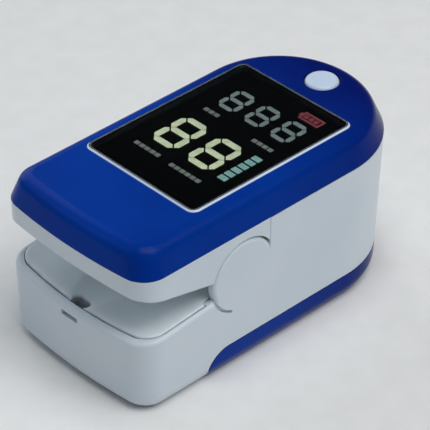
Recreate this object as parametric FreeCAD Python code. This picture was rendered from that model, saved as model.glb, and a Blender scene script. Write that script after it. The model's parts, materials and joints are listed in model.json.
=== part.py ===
import FreeCAD, Part
import math
import os

# Fingertip pulse oximeter: a two-cell clip that opens at the front about a pin at the rear.
# Frame: origin under the middle of the body on the surface it rests on, +Z up,
# -Y towards the finger opening, +X across. Distances called s run rearwards; the front face
# stands NOSE ahead of s = 0 and the rear face is at s = REAR.
os.makedirs("parts", exist_ok=True)
V = FreeCAD.Vector

# ---------------------------------------------------------------- driving dimensions (mm)
LENGTH = 61.2
NOSE = 1.2
REAR = LENGTH - NOSE
WIDTH = 32.5
SPLIT_Z = 25.2          # lower edge of the coloured cover
COVER_TOP = 29.8
WINDOW_TOP = 30.05
WALL = 1.4              # moulded wall of both housings
FRONT_BOW = 105.0       # radius of the slightly bowed front edge
CORNER = 4.3            # plan radius of the two front corners
BOTTOM_EDGE = 2.7       # rounding along the lower edge
DRAFT_SIDE = 0.5        # how far the sides lean in at the bottom
DRAFT_REAR = 1.1
DRAFT_FRONT = 0.2

COVER_SIDE_SLOPE = 1.75  # how far the cover's flanks lean in at its top
COVER_FRONT_SLOPE = 1.5
COVER_REAR_SLOPE = 2.1
COVER_SHOULDER = 2.4     # rounding between flank and top

WINDOW_HALF = 12.35
WINDOW_S0 = 13.2
WINDOW_S1 = 47.4
WINDOW_CORNER = 1.5
TRIM = 0.5

BUTTON_S = 52.8
BUTTON_R = 2.8
BUTTON_TRAVEL = 0.5

DISC_S = 20.3            # round boss on each flank
DISC_Z = 17.1
DISC_R = 6.2
DISC_GAP = 0.3
HORN_S = 25.6            # rear end of the upper housing's flank
SEAM = 0.08
SPLIT_GAP = 0.15

RIM_FRONT_Z = 13.3       # rim of the lower jaw beside its front corners
RIM_AT_DISC_Z = 14.7
RIM_DIP = 0.6            # how far the rim is dished in the middle
RIM_ROUND = 0.6
SKIRT_ROUND = 0.35
PAD_RISE = 0.3           # how far the lower pad stands above the rim
FLANGE = 0.6             # thickness of the pad's flange on the side walls
FLANGE_INSET = 0.7
FLANGE_SET_BACK = 0.9
SKIRT_FRONT_Z = 21.9     # lower edge of the upper housing at the front
SKIRT_AT_DISC_Z = 18.4
SLIT_Z = 10.9            # lanyard slit in the front face
SLIT_HEIGHT = 0.9

DOOR_S = 13.3            # front tip of the battery cover
DOOR_Z = 4.7             # its upper edge
DOOR_WALL = 1.3
DOOR_GAP = 0.15

CELL_R = 5.15            # AAA cell
CELL_LEN = 44.4
CELL_NUB = 0.8
CELL_X = 5.5
CELL_Z = 6.8
CELL_S = 6.1
POCKET_R = 5.3

TROUGH_R = 11.0          # finger trough of the lower pad
TROUGH_Z = 12.9
PAD = 0.9
TRAY_TOP = 13.0
PAD_END = 29.2
ARCH_R = 9.5             # finger arch of the upper pad
ARCH_Z = 22.4
ARCH_FOOT = 20.6
SENSOR_S = 20.0

PLATE_Z = 23.4           # inner plate of the upper housing
PLATE_T = 1.0
BOARD_Z = 24.5
BOARD_T = 0.8
MODULE_TOP = 29.0
WINDOW_LOW = 29.3         # underside of the clear window

PIN_S = 56.0
PIN_Z = 24.0
PIN_R = 0.75
PIN_HALF = 6.6
KNUCKLE_R = 1.7
OPEN_DEG = 12.0

COVER_SCREWS = [(-10.5, 6.5), (10.5, 6.5), (-8.5, 51.0), (8.5, 51.0)]
TRAY_SCREWS = [(-12.6, 5.2), (12.6, 5.2)]
SCREW_R = 0.8
FAR = 40.0               # larger than half of anything here


# ---------------------------------------------------------------- helpers
def y_of(s):
    """Row y of a distance s."""
    return s + NOSE - LENGTH / 2


def block(x0, x1, s0, s1, z0, z1):
    return Part.makeBox(x1 - x0, s1 - s0, z1 - z0, V(x0, y_of(s0), z0))


def upright(x, s, radius, z0, z1):
    return Part.makeCylinder(radius, z1 - z0, V(x, y_of(s), z0), V(0, 0, 1))


def along_y(x, z, radius, s0, s1):
    return Part.makeCylinder(radius, s1 - s0, V(x, y_of(s0), z), V(0, 1, 0))


def along_x(s, z, radius, x0, x1):
    return Part.makeCylinder(radius, x1 - x0, V(x0, y_of(s), z), V(1, 0, 0))


def outline(half, front, rear, corner, z):
    """Plan wire: bowed front edge, rounded front corners, straight flanks, round rear."""
    inner = FRONT_BOW - corner
    cx = half - corner
    cy = y_of(front) + FRONT_BOW - math.sqrt(inner ** 2 - cx ** 2)
    bow_y = y_of(front) + FRONT_BOW
    tx = cx * FRONT_BOW / inner
    ty = bow_y + (cy - bow_y) * FRONT_BOW / inner
    turn = math.atan2(ty - cy, tx - cx) / 2
    mx = cx + corner * math.cos(turn)
    my = cy + corner * math.sin(turn)
    ry = y_of(rear) - half
    edges = [
        Part.makeLine(V(half, cy, z), V(half, ry, z)),
        Part.Arc(V(half, ry, z), V(0, y_of(rear), z), V(-half, ry, z)).toShape(),
        Part.makeLine(V(-half, ry, z), V(-half, cy, z)),
        Part.Arc(V(-half, cy, z), V(-mx, my, z), V(-tx, ty, z)).toShape(),
        Part.Arc(V(-tx, ty, z), V(0, y_of(front), z), V(tx, ty, z)).toShape(),
        Part.Arc(V(tx, ty, z), V(mx, my, z), V(half, cy, z)).toShape(),
    ]
    return Part.Wire(edges)


def body_outline(inset, z):
    """Outline of the white body at height z, moved inwards by inset."""
    lean = 1 - z / SPLIT_Z
    return outline(
        WIDTH / 2 - DRAFT_SIDE * lean - inset,
        DRAFT_FRONT * lean + inset - NOSE,
        REAR - DRAFT_REAR * lean - inset,
        max(CORNER - inset, 0.8),
        z,
    )


def body_solid(inset, z0, z1):
    return Part.makeLoft([body_outline(inset, z0), body_outline(inset, z1)], True, True)


def flank_prism(edges, x0=-FAR, x1=FAR):
    """Extrude a closed side profile, given as edges in the x = 0 plane, across the body."""
    face = Part.Face(Part.Wire(edges))
    face.translate(V(x0, 0, 0))
    return face.extrude(V(x1 - x0, 0, 0))


def sz(s, z):
    return V(0, y_of(s), z)


def disc_point(radius, degrees):
    a = math.radians(degrees)
    return sz(DISC_S + radius * math.cos(a), DISC_Z + radius * math.sin(a))


def path(points):
    """Line edges through the points."""
    return [Part.makeLine(a, b) for a, b in zip(points, points[1:])]


def rounded_prism(half, s0, s1, corner, z0, z1):
    """Upright prism with a rounded rectangular plan."""
    solid = block(-half, half, s0, s1, z0, z1)
    posts = [e for e in solid.Edges if abs(e.tangentAt(e.FirstParameter).z) > 0.9]
    return solid.makeFillet(corner, posts)


def edges_near(solid, test):
    """Edges whose middle point passes the test."""
    found = []
    for edge in solid.Edges:
        middle = edge.valueAt((edge.FirstParameter + edge.LastParameter) / 2)
        if test(middle):
            found.append(edge)
    return found


def coil(radius, end_radius, pitch, turns, wire):
    """Round-wire helix rising from the origin along +Z."""
    height = pitch * turns
    angle = math.degrees(math.atan2(end_radius - radius, height))
    helix = Part.makeHelix(pitch, height, radius, angle)
    start = helix.Edges[0].valueAt(helix.Edges[0].FirstParameter)
    heading = helix.Edges[0].tangentAt(helix.Edges[0].FirstParameter)
    section = Part.Wire([Part.Circle(start, heading, wire).toShape()])
    return Part.Wire(helix.Edges).makePipeShell([section], True, True)


# ---------------------------------------------------------------- shared regions
def rounded_body():
    """The closed white body below the cover, with its rounded lower edge."""
    solid = body_solid(0, 0, SPLIT_Z)
    return solid.makeFillet(BOTTOM_EDGE, edges_near(solid, lambda p: p.z < 0.01))


def door_region(gap):
    """Side profile of the battery cover, grown by gap at its front and top."""
    front = DOOR_S - gap
    top = DOOR_Z + gap
    rise = sz(front, top - 2.5)
    level = sz(front + 4.5, top)
    bend = sz(front + 1.3, top - 1.0)
    edges = path([sz(front, -1), rise])
    edges.append(Part.Arc(rise, bend, level).toShape())
    edges += path([level, sz(LENGTH + 1, top), sz(LENGTH + 1, -1), sz(front, -1)])
    return flank_prism(edges)


def angle_at_s(radius, s):
    return math.degrees(math.acos((s - DISC_S) / radius))


def rim_meet():
    """Point of the side profile where the jaw's rim runs into the round boss."""
    below = math.degrees(math.asin((DISC_Z - RIM_AT_DISC_Z) / DISC_R))
    return disc_point(DISC_R, 180 + below)


def above_jaw_region():
    """Everything over the lower jaw, in front of and above the round bosses."""
    meet = rim_meet()
    seam = HORN_S + SEAM
    over = disc_point(DISC_R, angle_at_s(DISC_R, seam))
    edges = path([sz(-2, RIM_AT_DISC_Z), meet])
    edges.append(Part.Arc(meet, disc_point(DISC_R, 90), over).toShape())
    edges += path([over, sz(seam, SPLIT_Z + 1), sz(-2, SPLIT_Z + 1), sz(-2, RIM_AT_DISC_Z)])
    return flank_prism(edges)


def rim_dish(drop):
    """Large cylinder along the body, tilted a little, that dishes the jaw's rim."""
    half = WIDTH / 2
    radius = (half ** 2 + RIM_DIP ** 2) / (2 * RIM_DIP)
    meet = rim_meet()
    tilt = math.degrees(math.atan2(RIM_AT_DISC_Z - RIM_FRONT_Z, meet.y + LENGTH / 2))
    dish = along_y(0, RIM_AT_DISC_Z - RIM_DIP - drop + radius, radius, -5, 40)
    dish.rotate(meet, V(1, 0, 0), tilt)
    return dish


def open_jaw():
    """Body solid with the finger opening cut out and its rim rounded."""
    solid = rounded_body().cut(above_jaw_region())
    dish = rim_dish(0).common(block(-FAR, FAR, -2, DISC_S, 0, FAR))
    solid = solid.cut(dish.cut(along_x(DISC_S, DISC_Z, DISC_R, -FAR, FAR)))
    low = RIM_FRONT_Z - RIM_DIP - 0.5
    high = RIM_AT_DISC_Z + 0.5
    back = y_of(DISC_S - DISC_R + 0.5)
    return solid.makeFillet(RIM_ROUND, edges_near(solid, lambda p: low < p.z < high and p.y < back))


def skirt_region():
    """Side profile of the upper housing's skirt and horn."""
    radius = DISC_R + DISC_GAP
    rise = math.degrees(math.asin((SKIRT_AT_DISC_Z - DISC_Z) / radius))
    meet = disc_point(radius, 180 - rise)
    over = disc_point(radius, angle_at_s(radius, HORN_S))
    edges = path([sz(-NOSE, SKIRT_FRONT_Z), meet])
    edges.append(Part.Arc(meet, disc_point(radius, 90), over).toShape())
    edges += path([over, sz(HORN_S, SPLIT_Z), sz(-NOSE, SPLIT_Z), sz(-NOSE, SKIRT_FRONT_Z)])
    return flank_prism(edges)


def groove_tool():
    """Shallow arc that carries the boss's outline on below the jaw rim."""
    depth = 0.55
    ring = along_x(DISC_S, DISC_Z, DISC_R + 0.5, -FAR, FAR)
    ring = ring.cut(along_x(DISC_S, DISC_Z, DISC_R, -FAR, FAR))
    start = disc_point(2 * DISC_R, 176)
    middle = disc_point(2 * DISC_R, 212)
    end = disc_point(2 * DISC_R, 248)
    wedge = flank_prism(path([sz(DISC_S, DISC_Z), start, middle, end, sz(DISC_S, DISC_Z)]))
    return ring.common(wedge).cut(body_solid(depth, -1, SPLIT_Z))


def flange_region(gap):
    """Ledge on the side walls, where the pad's flange lies; set back so that it clears the front wall."""
    ledge = body_solid(FLANGE_INSET - gap, 12, RIM_AT_DISC_Z + PAD_RISE)
    ledge.translate(V(0, FLANGE_SET_BACK, 0))
    ledge = ledge.common(block(-FAR, FAR, -NOSE, 13.0 + gap, 0, FAR))
    return ledge.common(rim_dish(FLANGE - PAD_RISE + gap))


def lanyard_passage():
    """Slit in the front face that turns up into a round-ended hole behind the rim."""
    radius = 0.95
    middle = 1.4
    slit = block(-1.8, 1.8, -2, middle + radius, SLIT_Z, SLIT_Z + SLIT_HEIGHT)
    reach = 0.8
    riser = block(-reach, reach, middle - radius, middle + radius, SLIT_Z, RIM_AT_DISC_Z)
    for x in (-reach, reach):
        riser = riser.fuse(upright(x, middle, radius, SLIT_Z, RIM_AT_DISC_Z))
    return slit.fuse(riser)


# ---------------------------------------------------------------- lower half
def lower_housing():
    shell = open_jaw()
    shell = shell.cut(door_region(DOOR_GAP))
    shell = shell.cut(body_solid(WALL, 1.5, SPLIT_Z + 2))
    shell = shell.cut(block(-FAR, FAR, -2, LENGTH + 2, SPLIT_Z - SPLIT_GAP, SPLIT_Z + 2))
    shell = shell.cut(groove_tool()).cut(flange_region(0.05))
    for x, s in TRAY_SCREWS:
        shell = shell.fuse(upright(x, s, 1.7, 1.0, 6.0))
    for side in (-1, 1):
        x0, x1 = sorted((side * 5.2, side * PIN_HALF))
        ear = along_x(PIN_S, PIN_Z, KNUCKLE_R, x0, x1)
        ear = ear.fuse(block(x0, x1, PIN_S, LENGTH, 20.5, PIN_Z - 0.3))
        shell = shell.fuse(ear.common(body_solid(0.6, 15, SPLIT_Z + 3)))
    for x, s in TRAY_SCREWS:
        shell = shell.cut(upright(x, s, SCREW_R, 1.2, 7))
    shell = shell.cut(along_x(PIN_S, PIN_Z, PIN_R, -8, 8))
    shell = shell.cut(hinge_relief())
    return shell.cut(lanyard_passage())


def hinge_relief():
    """Room behind the pin for the cover's rear edge when the clip is open."""
    margin = 0.12
    lift = SPLIT_Z - PIN_Z - margin
    tool = block(-FAR, FAR, PIN_S + 0.2, PIN_S + 20, PIN_Z + lift, PIN_Z + lift + 6)
    tool.rotate(sz(PIN_S, PIN_Z), V(-1, 0, 0), OPEN_DEG + 0.6)
    return tool


def battery_tray():
    tray = body_solid(WALL + 0.15, 1.6, TRAY_TOP).cut(rim_dish(PAD - PAD_RISE))
    cell_end = CELL_S + CELL_LEN + 0.5
    for x in (-CELL_X, CELL_X):
        tray = tray.cut(along_y(x, CELL_Z, POCKET_R, 3.2, cell_end))
    half = CELL_X + POCKET_R
    tray = tray.cut(block(-half, half, DOOR_S + 0.6, cell_end, 0, CELL_Z))
    tray = tray.cut(along_y(0, TROUGH_Z + TROUGH_R, TROUGH_R + PAD, 0, PAD_END))
    tray = tray.cut(block(-1.75, 1.75, SENSOR_S - 3.5, SENSOR_S + 4.0, 10.95, TRAY_TOP + 1))
    tray = tray.cut(block(-1.2, 1.2, SENSOR_S + 3.9, 31.6, 11.2, TRAY_TOP + 1))
    tray = tray.cut(block(-1.6, 1.6, 9.5, DOOR_S + 0.7, 1, 2.7))
    for x, s in TRAY_SCREWS:
        tray = tray.cut(upright(x, s, 1.85, 1, 6.1))
        tray = tray.cut(upright(x, s, SCREW_R, 6, TRAY_TOP))
        tray = tray.cut(upright(x, s, 1.65, TRAY_TOP - 1.2, TRAY_TOP + 1))
    tray = tray.cut(block(-8, 8, cell_end + 1.5, cell_end + 3.6, 0, TRAY_TOP - 1.2))
    return tray.cut(lanyard_passage())


def lower_finger_pad():
    inset = WALL + 0.25
    top = RIM_AT_DISC_Z + PAD_RISE
    slab = body_solid(inset, TRAY_TOP, top)
    front = body_solid(inset, 10, TRAY_TOP).common(rim_dish(PAD - PAD_RISE))
    bed = along_y(0, TROUGH_Z + TROUGH_R, TROUGH_R + PAD, 0, PAD_END)
    bed = bed.common(body_solid(inset, 10, TRAY_TOP))
    pad = slab.fuse(front).fuse(bed).fuse(flange_region(0))
    pad = pad.cut(along_y(0, TROUGH_Z + TROUGH_R, TROUGH_R, -1, LENGTH))
    pad = pad.cut(rim_dish(-PAD_RISE))
    pad = pad.common(block(-FAR, FAR, -1, PAD_END, 0, FAR))
    stop = block(-8.5, 8.5, PAD_END - 1.2, PAD_END, TRAY_TOP, 18.5)
    pad = pad.fuse(stop)
    pad = pad.cut(block(-2, 2, SENSOR_S - 2.2, SENSOR_S + 2.2, 0, FAR))
    return pad.cut(lanyard_passage()).removeSplitter()


def sensor_board():
    return block(-1.7, 1.7, SENSOR_S - 3.4, SENSOR_S + 3.8, 11.0, 11.6)


def photodiode():
    return block(-1.4, 1.4, SENSOR_S - 1.4, SENSOR_S + 1.4, 11.6, 12.25)


def sensor_window():
    return block(-2, 2, SENSOR_S - 2.2, SENSOR_S + 2.2, 12.35, TROUGH_Z)


def sensor_flex():
    """Flat cable from the sensor board back and up to the main board."""
    run = block(-1, 1, SENSOR_S + 3.8, 31.2, 11.3, 11.5)
    riser = block(-1, 1, 31.0, 31.2, 11.3, BOARD_Z)
    return run.fuse(riser).removeSplitter()


def battery(side, nub_at_rear):
    x = side * CELL_X
    body_s = CELL_S if nub_at_rear else CELL_S + CELL_NUB
    nub_s = CELL_S + CELL_LEN - CELL_NUB if nub_at_rear else CELL_S
    can = along_y(x, CELL_Z, CELL_R, body_s, body_s + CELL_LEN - CELL_NUB)
    can = can.makeFillet(0.4, [e for e in can.Edges if e.Closed])
    return can.fuse(along_y(x, CELL_Z, 1.9, nub_s, nub_s + CELL_NUB))


def contact_springs():
    solids = []
    for x in (-CELL_X, CELL_X):
        spring = coil(3.2, 1.8, 0.75, 2.6, 0.22)
        spring.rotate(V(0, 0, 0), V(1, 0, 0), -90)
        spring.translate(V(x, y_of(3.8), CELL_Z))
        solids.append(spring)
    return Part.makeCompound(solids)


def contact_plates():
    half = 3.3
    front = [block(x - half, x + half, 3.25, 3.55, CELL_Z - half, CELL_Z + half) for x in (-CELL_X, CELL_X)]
    rear_s = CELL_S + CELL_LEN + 0.05
    bridge = block(-CELL_X, CELL_X, rear_s, rear_s + 0.35, CELL_Z - half, CELL_Z - 0.2)
    for x in (-CELL_X, CELL_X):
        bridge = bridge.fuse(block(x - half, x + half, rear_s, rear_s + 0.35, CELL_Z - half, CELL_Z + half))
    return Part.makeCompound(front + [bridge.removeSplitter()])


def pan_head_screw(x, s, head_z, head_h, head_r, tip_z):
    """Cross-recess screw; its tip lies above the head when tip_z is higher."""
    low, high = sorted((head_z, head_z + head_h))
    head = upright(x, s, head_r, low, high)
    shank = upright(x, s, SCREW_R - 0.01, min(head_z, tip_z), max(head_z, tip_z))
    cross = block(x - 0.2, x + 0.2, s - 0.8, s + 0.8, -0.35, 0.35)
    cross = cross.fuse(block(x - 0.8, x + 0.8, s - 0.2, s + 0.2, -0.35, 0.35))
    cross.translate(V(0, 0, head_z + head_h))
    return head.fuse(shank).cut(cross)


def tray_screws():
    screws = [pan_head_screw(x, s, TRAY_TOP - 1.2, 1.0, 1.6, 1.6) for x, s in TRAY_SCREWS]
    return Part.makeCompound(screws)


def hinge_pin():
    return along_x(PIN_S, PIN_Z, PIN_R, -PIN_HALF, PIN_HALF)


def torsion_springs():
    """Two closing springs on the pin, each with one leg under the inner plate."""
    solids = []
    for start in (-4.95, 3.4):
        spring = coil(1.2, 1.2, 0.46, 3.0, 0.2)
        spring.rotate(V(0, 0, 0), V(0, 1, 0), 90)
        spring.translate(V(start, y_of(PIN_S), PIN_Z))
        leg = along_y(start + 0.7, PIN_Z - 1.2, 0.2, PIN_S - 6, PIN_S)
        solids.append(spring.fuse(leg))
    return Part.makeCompound(solids)


def battery_cover():
    door = rounded_body().common(door_region(0))
    door = door.cut(body_solid(DOOR_WALL, DOOR_WALL + 0.1, DOOR_Z + 3))
    tongue = block(-1.3, 1.3, DOOR_S - 3, DOOR_S + 1.7, 1.7, 2.3)
    tongue = tongue.fuse(block(-1.3, 1.3, DOOR_S + 0.1, DOOR_S + 1.7, 1.0, 2.3))
    door = door.fuse(tongue)
    for row in range(4):
        s = 44.0 + 1.6 * row
        grip = block(-4.5 + 0.6 * row, 4.5 - 0.6 * row, s, s + 0.8, -0.1, 0.35)
        door = door.cut(grip)
    return door.removeSplitter()


# ---------------------------------------------------------------- upper half
def on_skirt_edge(p):
    """True on the skirt's lower outer edge, from the front round to the bosses."""
    at_front = p.y < y_of(0) or abs(p.x) > WIDTH / 2 - CORNER
    return at_front and p.z < SKIRT_FRONT_Z + 0.5 and p.y < y_of(DISC_S - DISC_R + 1)


def upper_housing():
    skirt = body_solid(0, 14, SPLIT_Z).common(skirt_region())
    skirt = skirt.makeFillet(SKIRT_ROUND, edges_near(skirt, on_skirt_edge))
    shell = skirt.cut(body_solid(WALL, 13, SPLIT_Z + 1))
    plate_front = body_solid(WALL - 0.3, PLATE_Z, PLATE_Z + PLATE_T)
    plate_front = plate_front.common(block(-FAR, FAR, -1, HORN_S - 0.6, 0, FAR))
    plate_rear = body_solid(WALL + 0.6, PLATE_Z, PLATE_Z + PLATE_T)
    plate_rear = plate_rear.common(block(-FAR, FAR, HORN_S - 1, 54.0, 0, FAR))
    shell = shell.fuse(plate_front).fuse(plate_rear)
    shell = shell.cut(along_x(DISC_S, DISC_Z, DISC_R + DISC_GAP, -FAR, -WIDTH / 2 + WALL + 0.5))
    shell = shell.cut(along_x(DISC_S, DISC_Z, DISC_R + DISC_GAP, WIDTH / 2 - WALL - 0.5, FAR))
    for x0, x1 in ((-13.4, -12.2), (12.2, 13.4)):
        shell = shell.fuse(block(x0, x1, 3.2, 27.2, ARCH_FOOT + PAD, PLATE_Z + 0.2))
    shell = shell.fuse(along_x(PIN_S, PIN_Z, KNUCKLE_R, -3, 3))
    shell = shell.fuse(block(-3, 3, 53.5, PIN_S, PLATE_Z, PLATE_Z + PLATE_T))
    shell = shell.cut(along_x(PIN_S, PIN_Z, PIN_R + 0.05, -FAR, FAR))
    shell = shell.cut(block(-3.6, 3.6, SENSOR_S - 4.1, SENSOR_S + 4.1, 20, 28))
    shell = shell.cut(block(-1.4, 1.4, 30, 32.2, 20, 28))
    for x, s in COVER_SCREWS:
        shell = shell.cut(upright(x, s, SCREW_R, 20, 28))
    return shell.removeSplitter()


def upper_finger_pad():
    end = PAD_END - 1.7
    slab = body_solid(WALL + 0.4, ARCH_FOOT, ARCH_FOOT + PAD)
    axis_z = ARCH_Z - ARCH_R
    crown = along_y(0, axis_z, ARCH_R + PAD, WALL + 0.5 - NOSE, LENGTH)
    crown = crown.common(block(-FAR, FAR, -1, LENGTH, ARCH_FOOT, FAR))
    pad = slab.fuse(crown).cut(along_y(0, axis_z, ARCH_R, -1, LENGTH + 1))
    pad = pad.common(block(-FAR, FAR, -1, end, 0, FAR))
    pad = pad.fuse(block(-8.5, 8.5, end - 1.2, end, 17.7, ARCH_FOOT + 0.2))
    pad = pad.fuse(block(-5, 5, end - 1.2, end, ARCH_FOOT, ARCH_Z))
    pad = pad.cut(block(-2.2, 2.2, SENSOR_S - 2.2, SENSOR_S + 2.2, 0, FAR))
    return pad.removeSplitter()


def emitter_board():
    return block(-3.5, 3.5, SENSOR_S - 4, SENSOR_S + 4, PLATE_Z + 0.2, PLATE_Z + 0.9)


def emitter_leds():
    return Part.makeCompound([
        block(x - 0.6, x + 0.6, SENSOR_S - 0.6, SENSOR_S + 0.6, PLATE_Z - 0.2, PLATE_Z + 0.2)
        for x in (-1.0, 1.0)
    ])


def emitter_window():
    return block(-2.2, 2.2, SENSOR_S - 2.2, SENSOR_S + 2.2, ARCH_Z + 0.1, ARCH_Z + 0.7)


def cover_profile(inset, z):
    """Outline of the cover at height z, moved inwards by inset."""
    rise = (z - SPLIT_Z) / (COVER_TOP - SPLIT_Z)
    return outline(
        WIDTH / 2 - COVER_SIDE_SLOPE * rise - inset,
        COVER_FRONT_SLOPE * rise + inset - NOSE,
        REAR - COVER_REAR_SLOPE * rise - inset,
        max(CORNER - 0.9 * rise - inset, 0.8),
        z,
    )


def top_cover():
    outer = Part.makeLoft([cover_profile(0, SPLIT_Z), cover_profile(0, COVER_TOP)], True, True)
    outer = outer.makeFillet(COVER_SHOULDER, edges_near(outer, lambda p: p.z > COVER_TOP - 0.01))
    low = SPLIT_Z - 0.2
    high = COVER_TOP - WALL
    cavity = Part.makeLoft([cover_profile(WALL, low), cover_profile(WALL, high)], True, True)
    cover = outer.cut(cavity)
    for x, s in COVER_SCREWS:
        cover = cover.fuse(upright(x, s, 1.9, PLATE_Z + PLATE_T, high + 0.3))
    for x, s in COVER_SCREWS:
        cover = cover.cut(upright(x, s, SCREW_R, PLATE_Z, 27.7))
    cover = cover.cut(
        rounded_prism(WINDOW_HALF, WINDOW_S0, WINDOW_S1, WINDOW_CORNER, high - 1, COVER_TOP + 1)
    )
    cover = cover.cut(upright(0, BUTTON_S, BUTTON_R + 0.2, high - 1, COVER_TOP + 1))
    return cover.removeSplitter()


def window_trim():
    """Thin bevelled frame round the window, standing slightly proud of the cover."""
    low = COVER_TOP - WALL
    frame = rounded_prism(WINDOW_HALF, WINDOW_S0, WINDOW_S1, WINDOW_CORNER, low, WINDOW_TOP)
    bevel = edges_near(frame, lambda p: p.z > WINDOW_TOP - 0.001)
    frame = frame.makeChamfer(WINDOW_TOP - COVER_TOP, bevel)
    inner = rounded_prism(
        WINDOW_HALF - TRIM, WINDOW_S0 + TRIM, WINDOW_S1 - TRIM, WINDOW_CORNER - TRIM, low - 1, 40
    )
    return frame.cut(inner)


def display_window():
    return rounded_prism(
        WINDOW_HALF - TRIM, WINDOW_S0 + TRIM, WINDOW_S1 - TRIM, WINDOW_CORNER - TRIM, WINDOW_LOW, WINDOW_TOP
    )


def display_module():
    return block(-11.2, 11.2, 15.2, 46.1, BOARD_Z + BOARD_T, MODULE_TOP)


def segment(x, s, length, thick, across):
    """One hexagonal display segment centred on (x, s)."""
    half = length / 2
    tip = thick / 2
    corners = [(-half, 0), (-half + tip, tip), (half - tip, tip), (half, 0),
               (half - tip, -tip), (-half + tip, -tip)]
    points = []
    for along, aside in corners:
        dx, ds = (along, aside) if across else (aside, along)
        points.append(V(x + dx, y_of(s + ds), MODULE_TOP))
    face = Part.Face(Part.makePolygon(points + points[:1]))
    return face.extrude(V(0, 0, 0.1))


def digit(x, s, wide, tall, thick):
    """Seven-segment eight centred on (x, s), its top towards the rear."""
    gap = 0.18
    rung = wide - thick - 2 * gap
    post = (tall - thick) / 2 - 2 * gap
    rail = (wide - thick) / 2
    step = (tall - thick) / 2
    bars = [segment(x, s + k * step, rung, thick, True) for k in (-1, 0, 1)]
    bars += [segment(x + i * rail, s + k * step / 2, post, thick, False) for i in (-1, 1) for k in (-1, 1)]
    return bars


def large_digits():
    return Part.makeCompound(digit(-5.2, 26.9, 5.6, 8.2, 1.1) + digit(2.6, 26.9, 5.6, 8.2, 1.1))


def small_digits():
    bars = []
    for x in (-5.5, 0.3, 6.1):
        bars += digit(x, 39.3, 4.0, 5.6, 0.75)
    return Part.makeCompound(bars)


def lit_mark(x0, x1, s0, s1):
    return block(x0, x1, s0, s1, MODULE_TOP, MODULE_TOP + 0.1)


def pulse_bars():
    return Part.makeCompound([lit_mark(7.2, 8.8, 23.0 + 1.42 * k, 24.0 + 1.42 * k) for k in range(6)])


def battery_icon():
    frame = lit_mark(4.2, 8.4, 43.2, 45.2).cut(lit_mark(4.55, 8.05, 43.55, 44.85))
    cells = [lit_mark(4.8 + 1.05 * k, 5.55 + 1.05 * k, 43.8, 44.6) for k in range(3)]
    nub = lit_mark(3.8, 4.15, 43.8, 44.6)
    return Part.makeCompound([frame, nub] + cells)


def display_labels():
    """Rows of plain dashes where the display has its captions."""
    rows = [(-8.3, 20.0, 5), (-0.2, 19.8, 6), (-7.6, 34.0, 3), (3.8, 33.4, 4)]
    marks = []
    for x, s, count in rows:
        marks += [lit_mark(x + 1.15 * k, x + 1.15 * k + 0.85, s, s + 0.75) for k in range(count)]
    return Part.makeCompound(marks)


def main_board():
    board = block(-12.5, 12.5, 9.2, 48.2, BOARD_Z, BOARD_Z + BOARD_T)
    board = board.fuse(block(-5.0, 5.0, 48.0, 53.9, BOARD_Z, BOARD_Z + BOARD_T))
    return board.removeSplitter()


def board_chips():
    top = BOARD_Z + BOARD_T
    return Part.makeCompound([
        block(-3.4, 1.6, 9.6, 14.6, top, top + 0.9),
        block(4.0, 7.0, 10.5, 13.5, top, top + 0.8),
        block(-8.5, -6.0, 10.8, 13.0, top, top + 1.1),
        block(-4.6, -1.0, 46.3, 48.6, top, top + 0.8),
        block(1.4, 3.0, 46.4, 49.0, top, top + 0.6),
    ])


def tact_switch():
    top = BOARD_Z + BOARD_T
    can = block(-1.8, 1.8, BUTTON_S - 1.8, BUTTON_S + 1.8, top, 27.0)
    return can.cut(upright(0, BUTTON_S, 1.0, top + 0.3, 28))


def power_button():
    cap = upright(0, BUTTON_S, BUTTON_R, 28.0, WINDOW_TOP)
    cap = cap.makeFillet(0.7, edges_near(cap, lambda p: p.z > WINDOW_TOP - 0.01))
    cap = cap.fuse(upright(0, BUTTON_S, BUTTON_R + 0.9, 27.6, 28.2))
    return cap.fuse(upright(0, BUTTON_S, SCREW_R, 27.1, 27.7)).removeSplitter()


def switch_plunger():
    return upright(0, BUTTON_S, 0.75, 26.25, 27.1)


def cover_screws():
    screws = [pan_head_screw(x, s, PLATE_Z, -0.9, 1.5, 27.5) for x, s in COVER_SCREWS]
    return Part.makeCompound(screws)


NODES = {
    "lower_housing": lower_housing,
    "battery_tray": battery_tray,
    "lower_finger_pad": lower_finger_pad,
    "sensor_board": sensor_board,
    "photodiode": photodiode,
    "sensor_window": sensor_window,
    "sensor_flex": sensor_flex,
    "battery_left": lambda: battery(-1, True),
    "battery_right": lambda: battery(1, False),
    "contact_springs": contact_springs,
    "contact_plates": contact_plates,
    "tray_screws": tray_screws,
    "hinge_pin": hinge_pin,
    "torsion_springs": torsion_springs,
    "battery_cover": battery_cover,
    "upper_housing": upper_housing,
    "upper_finger_pad": upper_finger_pad,
    "emitter_board": emitter_board,
    "emitter_leds": emitter_leds,
    "emitter_window": emitter_window,
    "top_cover": top_cover,
    "window_trim": window_trim,
    "display_window": display_window,
    "display_module": display_module,
    "large_digits": large_digits,
    "small_digits": small_digits,
    "pulse_bars": pulse_bars,
    "battery_icon": battery_icon,
    "display_labels": display_labels,
    "main_board": main_board,
    "board_chips": board_chips,
    "tact_switch": tact_switch,
    "power_button": power_button,
    "switch_plunger": switch_plunger,
    "cover_screws": cover_screws,
}

for name, build in NODES.items():
    shape = build()
    box = shape.BoundBox
    print(name, len(shape.Solids), shape.isValid(), round(shape.Volume, 1),
          [round(v, 2) for v in (box.XMin, box.XMax, box.YMin, box.YMax, box.ZMin, box.ZMax)])
    shape.exportStep("parts/" + name + ".step")
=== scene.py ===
import json
import math

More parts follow.
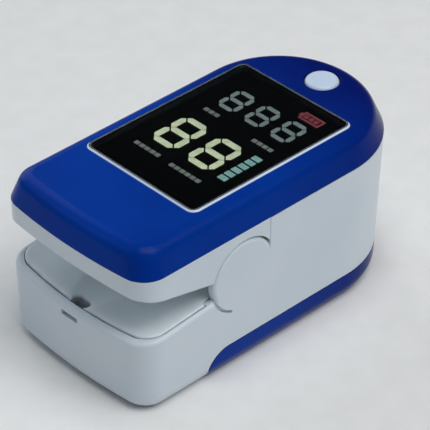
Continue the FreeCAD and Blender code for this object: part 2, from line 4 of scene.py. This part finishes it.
import bpy
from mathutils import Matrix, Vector


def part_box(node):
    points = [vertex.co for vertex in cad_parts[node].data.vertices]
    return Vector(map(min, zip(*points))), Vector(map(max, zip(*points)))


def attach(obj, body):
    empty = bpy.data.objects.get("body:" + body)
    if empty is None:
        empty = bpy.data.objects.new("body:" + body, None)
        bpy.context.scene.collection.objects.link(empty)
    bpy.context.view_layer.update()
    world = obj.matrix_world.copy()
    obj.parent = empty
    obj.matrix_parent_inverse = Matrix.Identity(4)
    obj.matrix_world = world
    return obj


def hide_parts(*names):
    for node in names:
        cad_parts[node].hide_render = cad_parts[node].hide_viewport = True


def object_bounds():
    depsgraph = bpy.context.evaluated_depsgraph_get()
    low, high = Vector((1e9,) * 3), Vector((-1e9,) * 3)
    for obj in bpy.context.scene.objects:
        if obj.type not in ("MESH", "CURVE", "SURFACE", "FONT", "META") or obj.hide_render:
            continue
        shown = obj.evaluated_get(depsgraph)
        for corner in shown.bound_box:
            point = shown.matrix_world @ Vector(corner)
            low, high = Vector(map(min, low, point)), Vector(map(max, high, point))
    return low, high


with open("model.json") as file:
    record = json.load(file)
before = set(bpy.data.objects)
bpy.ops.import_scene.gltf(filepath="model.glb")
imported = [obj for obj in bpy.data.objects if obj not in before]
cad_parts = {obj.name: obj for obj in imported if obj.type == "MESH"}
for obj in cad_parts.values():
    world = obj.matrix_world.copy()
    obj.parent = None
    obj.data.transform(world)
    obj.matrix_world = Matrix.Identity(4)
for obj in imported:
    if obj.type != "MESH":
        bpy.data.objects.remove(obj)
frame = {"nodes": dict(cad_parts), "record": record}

CAD_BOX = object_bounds()
NODES = frame["nodes"]
MM = 0.001
FLOOR_DROP = 0.05 * MM

# Roughness of the metals, lowest and highest. A material's range stays wholly above 0.28 or
# wholly below 0.27: in trial renders one that crossed between them came out speckled.
METAL_ROUGH = (0.29, 0.42)


# ---------------------------------------------------------------- camera, light and floor
VIEW_AZIMUTH = 46.56
VIEW_ELEVATION = 36.33
VIEW_DISTANCE = 0.417
LENS = 222.0
SENSOR = 36.0


def toward(azimuth, elevation):
    """Unit vector from the object to a point at that azimuth and elevation."""
    a = math.radians(azimuth)
    e = math.radians(elevation)
    return Vector((math.sin(a) * math.cos(e), -math.cos(a) * math.cos(e), math.sin(e)))


def aim(obj, target):
    obj.rotation_euler = (target - obj.location).to_track_quat("-Z", "Y").to_euler()


def centre_of_box():
    low, high = CAD_BOX
    return (Vector(low) + Vector(high)) / 2


def make_camera():
    data = bpy.data.cameras.new("camera")
    data.lens = LENS
    data.sensor_width = SENSOR
    data.clip_start = 0.01
    data.clip_end = 20
    camera = bpy.data.objects.new("camera", data)
    bpy.context.scene.collection.objects.link(camera)
    target = centre_of_box()
    camera.location = target + VIEW_DISTANCE * toward(VIEW_AZIMUTH, VIEW_ELEVATION)
    aim(camera, target)
    bpy.context.scene.camera = camera


def area_light(name, azimuth, elevation, distance, size, power, colour=(1, 1, 1)):
    data = bpy.data.lights.new(name, "AREA")
    data.shape = "DISK"
    data.size = size
    data.energy = power
    data.color = colour
    light = bpy.data.objects.new(name, data)
    bpy.context.scene.collection.objects.link(light)
    light.location = centre_of_box() + distance * toward(azimuth, elevation)
    aim(light, centre_of_box())


def make_studio():
    world = bpy.data.worlds.new("studio")
    bpy.context.scene.world = world
    world.use_nodes = True
    background = world.node_tree.nodes["Background"]
    background.inputs["Color"].default_value = (0.82, 0.90, 1.0, 1)
    background.inputs["Strength"].default_value = 0.14
    area_light("overhead", 96, 74, 0.6, 0.55, 2.1)
    area_light("side_fill", 112, 50, 0.8, 0.5, 1.35)
    area_light("front_fill", -45, 34, 0.7, 0.3, 0.12, (0.84, 0.92, 1.0))
    area_light("left_fill", -95, 28, 0.9, 0.85, 2.6, (0.90, 0.95, 1.0))
    bpy.context.scene.view_settings.view_transform = "Standard"


def make_floor():
    bpy.ops.mesh.primitive_plane_add(size=3, location=(0, 0, -FLOOR_DROP))
    floor = bpy.context.object
    floor.name = "floor"
    nodes, links, shader = new_material("floor_paper")
    noise = add_noise(nodes, links, 220, 4)
    ramp = two_colours(nodes, links, noise, (0.80, 0.80, 0.79), (0.83, 0.83, 0.82))
    links.new(ramp.outputs["Color"], shader.inputs["Base Color"])
    shader.inputs["Roughness"].default_value = 0.7
    floor.data.materials.append(bpy.data.materials["floor_paper"])


# ---------------------------------------------------------------- material helpers
def new_material(name):
    material = bpy.data.materials.new(name)
    material.use_nodes = True
    nodes = material.node_tree.nodes
    shader = nodes["Principled BSDF"]
    return nodes, material.node_tree.links, shader


def add_noise(nodes, links, scale, detail=3.0, stretch=(1, 1, 1)):
    """Noise in the part's own coordinates; scale is in cells per metre."""
    coords = nodes.new("ShaderNodeTexCoord")
    mapping = nodes.new("ShaderNodeMapping")
    mapping.inputs["Scale"].default_value = stretch
    noise = nodes.new("ShaderNodeTexNoise")
    noise.inputs["Scale"].default_value = scale
    noise.inputs["Detail"].default_value = detail
    links.new(coords.outputs["Object"], mapping.inputs["Vector"])
    links.new(mapping.outputs["Vector"], noise.inputs["Vector"])
    return noise


def part_coordinate(nodes, links, axis):
    """One coordinate of the part's own frame, in metres."""
    coords = nodes.new("ShaderNodeTexCoord")
    split = nodes.new("ShaderNodeSeparateXYZ")
    links.new(coords.outputs["Object"], split.inputs["Vector"])
    return split.outputs[axis]


def two_colours(nodes, links, source, dark, light, low=0.35, high=0.65):
    ramp = nodes.new("ShaderNodeValToRGB")
    ramp.color_ramp.elements[0].position = low
    ramp.color_ramp.elements[0].color = (*dark, 1)
    ramp.color_ramp.elements[1].position = high
    ramp.color_ramp.elements[1].color = (*light, 1)
    links.new(source.outputs["Fac"], ramp.inputs["Fac"])
    return ramp


def range_of(nodes, links, source, low, high):
    spread = nodes.new("ShaderNodeMapRange")
    spread.inputs["From Min"].default_value = 0.3
    spread.inputs["From Max"].default_value = 0.7
    spread.inputs["To Min"].default_value = low
    spread.inputs["To Max"].default_value = high
    links.new(source.outputs["Fac"], spread.inputs["Value"])
    return spread


def soft_edges(nodes, radius):
    """Normals that round every edge by the radius."""
    bevel = nodes.new("ShaderNodeBevel")
    bevel.samples = 6
    bevel.inputs["Radius"].default_value = radius
    return bevel


def add_bump(nodes, links, shader, source, strength, distance, bevel):
    """Fine grain on top of the softened edges."""
    bump = nodes.new("ShaderNodeBump")
    bump.inputs["Strength"].default_value = strength
    bump.inputs["Distance"].default_value = distance
    links.new(bevel.outputs["Normal"], bump.inputs["Normal"])
    links.new(source.outputs["Fac"], bump.inputs["Height"])
    links.new(bump.outputs["Normal"], shader.inputs["Normal"])


def lighten_edges_wear_and_highlight(nodes, links, colour, bevel, light, amount):
    """Where the softened normal leaves the true one is an edge: it is made a little lighter,
    partly as rubbed wear and partly as painted highlight.
    """
    geometry = nodes.new("ShaderNodeNewGeometry")
    dot = nodes.new("ShaderNodeVectorMath")
    dot.operation = "DOT_PRODUCT"
    links.new(geometry.outputs["Normal"], dot.inputs[0])
    links.new(bevel.outputs["Normal"], dot.inputs[1])
    mask = nodes.new("ShaderNodeMapRange")
    mask.inputs["From Min"].default_value = 1.0
    mask.inputs["From Max"].default_value = 0.85
    mask.inputs["To Max"].default_value = amount
    links.new(dot.outputs["Value"], mask.inputs["Value"])
    mix = nodes.new("ShaderNodeMix")
    mix.data_type = "RGBA"
    mix.inputs["B"].default_value = (*light, 1)
    links.new(mask.outputs["Result"], mix.inputs["Factor"])
    links.new(colour, mix.inputs["A"])
    return mix.outputs["Result"]


def surface(name, dark, light, rough, grain, bump, cloud=60, edge=0.2, **sockets):
    """A moulded or metal surface: cloudy colour, uneven roughness and a fine grain."""
    nodes, links, shader = new_material(name)
    clouds = add_noise(nodes, links, cloud, 3)
    fine = add_noise(nodes, links, grain, 4)
    ramp = two_colours(nodes, links, clouds, dark, light)
    bevel = soft_edges(nodes, edge * MM)
    # Edges are lightened, partly as rubbed wear and partly as painted highlight.
    edge_wear_and_highlight_colour = tuple(min(1.0, c * 1.25 + 0.01) for c in light)
    worn_and_highlit = lighten_edges_wear_and_highlight(nodes, links, ramp.outputs["Color"], bevel, edge_wear_and_highlight_colour, 0.5)
    links.new(worn_and_highlit, shader.inputs["Base Color"])
    spread = range_of(nodes, links, fine, rough[0], rough[1])
    links.new(spread.outputs["Result"], shader.inputs["Roughness"])
    add_bump(nodes, links, shader, fine, bump, 0.01 * MM, bevel)
    for socket, value in sockets.items():
        shader.inputs[socket.replace("_", " ")].default_value = value
    return bpy.data.materials[name]


def cover_surface(name):
    """Glossy blue with painted shade: its colour is multiplied darker over the rear half of the
    body.
    """
    material = surface(name, (0.0005, 0.030, 0.260), (0.001, 0.038, 0.310),
                       (0.16, 0.24), 2600, 0.10, IOR=1.2, Specular_IOR_Level=0.3)
    nodes = material.node_tree.nodes
    links = material.node_tree.links
    base = nodes["Principled BSDF"].inputs["Base Color"]
    along = nodes.new("ShaderNodeMapRange")
    along.inputs["From Min"].default_value = 0.0
    along.inputs["From Max"].default_value = CAD_BOX[1][1]
    links.new(part_coordinate(nodes, links, "Y"), along.inputs["Value"])
    # Painted shade: the blue is multiplied darker from the middle of the body towards its rear.
    painted_rear_shade = nodes.new("ShaderNodeMix")
    painted_rear_shade.data_type = "RGBA"
    painted_rear_shade.blend_type = "MULTIPLY"
    painted_rear_shade.inputs["B"].default_value = (0.5, 0.07, 0.34, 1)
    links.new(along.outputs["Result"], painted_rear_shade.inputs["Factor"])
    links.new(base.links[0].from_socket, painted_rear_shade.inputs["A"])
    links.new(painted_rear_shade.outputs["Result"], base)
    return material


def trim_surface(name):
    """Window frame: painted highlight on its bevels, black on its flat top."""
    nodes, links, shader = new_material(name)
    clouds = add_noise(nodes, links, 120, 3)
    bright = two_colours(nodes, links, clouds, (0.66, 0.78, 0.94), (0.78, 0.87, 0.97))
    bevel = soft_edges(nodes, 0.15 * MM)
    split = nodes.new("ShaderNodeSeparateXYZ")
    links.new(bevel.outputs["Normal"], split.inputs["Vector"])
    # Painted highlight: where the softened normal tilts off vertical, the frame is coloured
    # bright.
    bevel_highlight_mask = nodes.new("ShaderNodeMapRange")
    bevel_highlight_mask.inputs["From Min"].default_value = 0.99
    bevel_highlight_mask.inputs["From Max"].default_value = 0.88
    links.new(split.outputs["Z"], bevel_highlight_mask.inputs["Value"])
    mix = nodes.new("ShaderNodeMix")
    mix.data_type = "RGBA"
    mix.inputs["A"].default_value = (0.004, 0.006, 0.008, 1)
    links.new(bright.outputs["Color"], mix.inputs["B"])
    links.new(bevel_highlight_mask.outputs["Result"], mix.inputs["Factor"])
    links.new(mix.outputs["Result"], shader.inputs["Base Color"])
    links.new(bevel.outputs["Normal"], shader.inputs["Normal"])
    shader.inputs["Roughness"].default_value = 0.2
    shader.inputs["Specular IOR Level"].default_value = 0.3
    return bpy.data.materials[name]


def lit(name, dark, light, glow, strength):
    """A lit display segment: uneven phosphor that glows."""
    nodes, links, shader = new_material(name)
    patches = add_noise(nodes, links, 900, 2)
    ramp = two_colours(nodes, links, patches, dark, light)
    links.new(ramp.outputs["Color"], shader.inputs["Base Color"])
    tint = two_colours(nodes, links, patches, tuple(0.8 * c for c in glow), glow)
    links.new(tint.outputs["Color"], shader.inputs["Emission Color"])
    shader.inputs["Emission Strength"].default_value = strength
    shader.inputs["Roughness"].default_value = 0.5
    return bpy.data.materials[name]


def make_materials():
    return {
        "cover_blue": cover_surface("blue_abs"),
        "housing_white": surface("white_abs", (0.65, 0.73, 0.80), (0.69, 0.765, 0.825),
                                 (0.30, 0.38), 2600, 0.05),
        "pad_grey": surface("grey_silicone", (0.76, 0.83, 0.87), (0.81, 0.88, 0.92),
                            (0.5, 0.65), 3200, 0.2, Sheen_Weight=0.15),
        "trim_silver": trim_surface("trim_clear_edge"),
        "module_black": surface("module_black", (0.001, 0.004, 0.004), (0.002, 0.007, 0.006),
                                (0.5, 0.65), 1500, 0.1, Specular_IOR_Level=0.1),
        "print_grey": lit("label_print", (0.25, 0.27, 0.24), (0.32, 0.34, 0.31),
                          (0.40, 0.42, 0.36), 3.0),
        "lit_large": lit("segments_large", (0.5, 0.53, 0.38), (0.6, 0.62, 0.46),
                         (0.90, 0.92, 0.60), 4.8),
        "lit_small": lit("segments_small", (0.4, 0.45, 0.42), (0.5, 0.54, 0.5),
                         (0.56, 0.64, 0.62), 2.4),
        "lit_teal": lit("segments_teal", (0.3, 0.42, 0.4), (0.36, 0.5, 0.46),
                        (0.44, 0.76, 0.70), 3.6),
        "lit_red": lit("segments_red", (0.3, 0.05, 0.06), (0.36, 0.08, 0.09),
                       (0.72, 0.16, 0.20), 2.0),
        "board_green": circuit_board("circuit_board"),
        "chip_black": surface("chip_epoxy", (0.012, 0.012, 0.014), (0.022, 0.022, 0.025),
                              (0.45, 0.6), 3000, 0.2),
        "button_white": surface("button_abs", (0.54, 0.65, 0.81), (0.60, 0.70, 0.86),
                                (0.29, 0.36), 2600, 0.05),
        "nickel_steel": surface("nickel_steel", (0.48, 0.47, 0.44), (0.60, 0.59, 0.56),
                                METAL_ROUGH, 2200, 0.1, Metallic=1.0),
        "spring_steel": surface("spring_steel", (0.36, 0.36, 0.37), (0.48, 0.48, 0.49),
                                METAL_ROUGH, 2200, 0.1, Metallic=1.0),
        "tray_grey": surface("tray_abs", (0.34, 0.38, 0.40), (0.42, 0.45, 0.47),
                             (0.4, 0.55), 2000, 0.12),
        "flex_amber": flat_cable("flex_polyimide"),
        "diode_dark": surface("diode_dark", (0.015, 0.010, 0.02), (0.03, 0.02, 0.04),
                              (0.1, 0.2), 2000, 0.03),
        "led_epoxy": surface("led_epoxy", (0.66, 0.60, 0.50), (0.78, 0.72, 0.62),
                             (0.1, 0.25), 2000, 0.03),
        "window_black": surface("window_smoke", (0.10, 0.115, 0.12), (0.12, 0.135, 0.14),
                                (0.02, 0.05), 400, 0.004, Transmission_Weight=1.0, IOR=1.15,
                                Specular_IOR_Level=0.3),
        "lens_clear": surface("lens_clear", (0.70, 0.74, 0.78), (0.78, 0.82, 0.86),
                              (0.03, 0.08), 900, 0.02, Transmission_Weight=0.9, IOR=1.49),
    }


# ---------------------------------------------------------------- special materials
def cell_jacket(node, plus_at_rear):
    """Dry cell: bare steel ends, a copper-coloured band at the plus end, dark printed jacket."""
    name = node + "_jacket"
    nodes, links, shader = new_material(name)
    low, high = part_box(node)
    along = nodes.new("ShaderNodeMapRange")
    near, far = (high[1], low[1]) if plus_at_rear else (low[1], high[1])
    along.inputs["From Min"].default_value = near
    along.inputs["From Max"].default_value = far
    links.new(part_coordinate(nodes, links, "Y"), along.inputs["Value"])
    bands = nodes.new("ShaderNodeValToRGB")
    bands.color_ramp.interpolation = "CONSTANT"
    stops = [(0.0, (0.60, 0.59, 0.56)), (0.036, (0.62, 0.30, 0.10)), (0.30, (0.80, 0.80, 0.76)),
             (0.315, (0.020, 0.022, 0.028)), (0.965, (0.60, 0.59, 0.56))]
    ramp = bands.color_ramp
    for position, colour in stops[1:-1]:
        ramp.elements.new(position)
    for element, (position, colour) in zip(ramp.elements, stops):
        element.position = position
        element.color = (*colour, 1)
    links.new(along.outputs["Result"], bands.inputs["Fac"])
    links.new(bands.outputs["Color"], shader.inputs["Base Color"])
    scuffs = add_noise(nodes, links, 900, 4, (1, 0.2, 1))
    spread = range_of(nodes, links, scuffs, *METAL_ROUGH)
    links.new(spread.outputs["Result"], shader.inputs["Roughness"])
    shader.inputs["Metallic"].default_value = 0.7
    return bpy.data.materials[name]


def circuit_board(name):
    """Green solder mask with lighter tracks and gold pads."""
    nodes, links, shader = new_material(name)
    coords = nodes.new("ShaderNodeTexCoord")
    tracks = nodes.new("ShaderNodeTexBrick")
    tracks.inputs["Scale"].default_value = 260
    tracks.inputs["Mortar Size"].default_value = 0.035
    tracks.inputs["Color1"].default_value = (0.008, 0.070, 0.030, 1)
    tracks.inputs["Color2"].default_value = (0.012, 0.085, 0.040, 1)
    tracks.inputs["Mortar"].default_value = (0.040, 0.180, 0.090, 1)
    links.new(coords.outputs["Object"], tracks.inputs["Vector"])
    pads = nodes.new("ShaderNodeTexVoronoi")
    pads.inputs["Scale"].default_value = 420
    pads.inputs["Randomness"].default_value = 0.6
    links.new(coords.outputs["Object"], pads.inputs["Vector"])
    spot = nodes.new("ShaderNodeMath")
    spot.operation = "LESS_THAN"
    spot.inputs[1].default_value = 0.18
    links.new(pads.outputs["Distance"], spot.inputs[0])
    mix = nodes.new("ShaderNodeMix")
    mix.data_type = "RGBA"
    mix.inputs["B"].default_value = (0.75, 0.52, 0.18, 1)
    links.new(spot.outputs["Value"], mix.inputs["Factor"])
    links.new(tracks.outputs["Color"], mix.inputs["A"])
    links.new(mix.outputs["Result"], shader.inputs["Base Color"])
    links.new(spot.outputs["Value"], shader.inputs["Metallic"])
    shader.inputs["Roughness"].default_value = 0.35
    return bpy.data.materials[name]


def flat_cable(name):
    """Amber polyimide with copper conductors along it."""
    nodes, links, shader = new_material(name)
    lines = nodes.new("ShaderNodeTexWave")
    lines.bands_direction = "X"
    lines.inputs["Scale"].default_value = 900
    coords = nodes.new("ShaderNodeTexCoord")
    links.new(coords.outputs["Object"], lines.inputs["Vector"])
    ramp = two_colours(nodes, links, lines, (0.30, 0.12, 0.015), (0.62, 0.28, 0.09))
    links.new(ramp.outputs["Color"], shader.inputs["Base Color"])
    shader.inputs["Roughness"].default_value = 0.3
    return bpy.data.materials[name]


# ---------------------------------------------------------------- pieces
def soft_copy(node, name, body, voxel=0.28, passes=6):
    """Moulded silicone form of a CAD node: the same shape with every edge rounded off."""
    piece = bpy.data.objects.new(name, NODES[node].data.copy())
    bpy.context.scene.collection.objects.link(piece)
    remesh = piece.modifiers.new("remesh", "REMESH")
    remesh.mode = "VOXEL"
    remesh.voxel_size = voxel * MM
    remesh.use_smooth_shade = True
    smooth = piece.modifiers.new("smooth", "SMOOTH")
    smooth.factor = 0.5
    smooth.iterations = passes
    graph = bpy.context.evaluated_depsgraph_get()
    piece.data = bpy.data.meshes.new_from_object(piece.evaluated_get(graph))
    piece.modifiers.clear()
    for polygon in piece.data.polygons:
        polygon.use_smooth = True
    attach(piece, body)
    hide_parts(node)
    return piece


def dress_nodes():
    """Every CAD node gets the material of its slot in the record."""
    materials = make_materials()
    own = {
        "battery_left": cell_jacket("battery_left", True),
        "battery_right": cell_jacket("battery_right", False),
    }
    for part in frame["record"]["subparts"]:
        node = part["node"]
        obj = NODES[node]
        obj.data.materials.clear()
        obj.data.materials.append(own[node] if node in own else materials[part["material_slot"]])


make_camera()
make_studio()
make_floor()
dress_nodes()
soft_copy("lower_finger_pad", "lower_pad_silicone", "root")
soft_copy("upper_finger_pad", "upper_pad_silicone", "upper_shell")
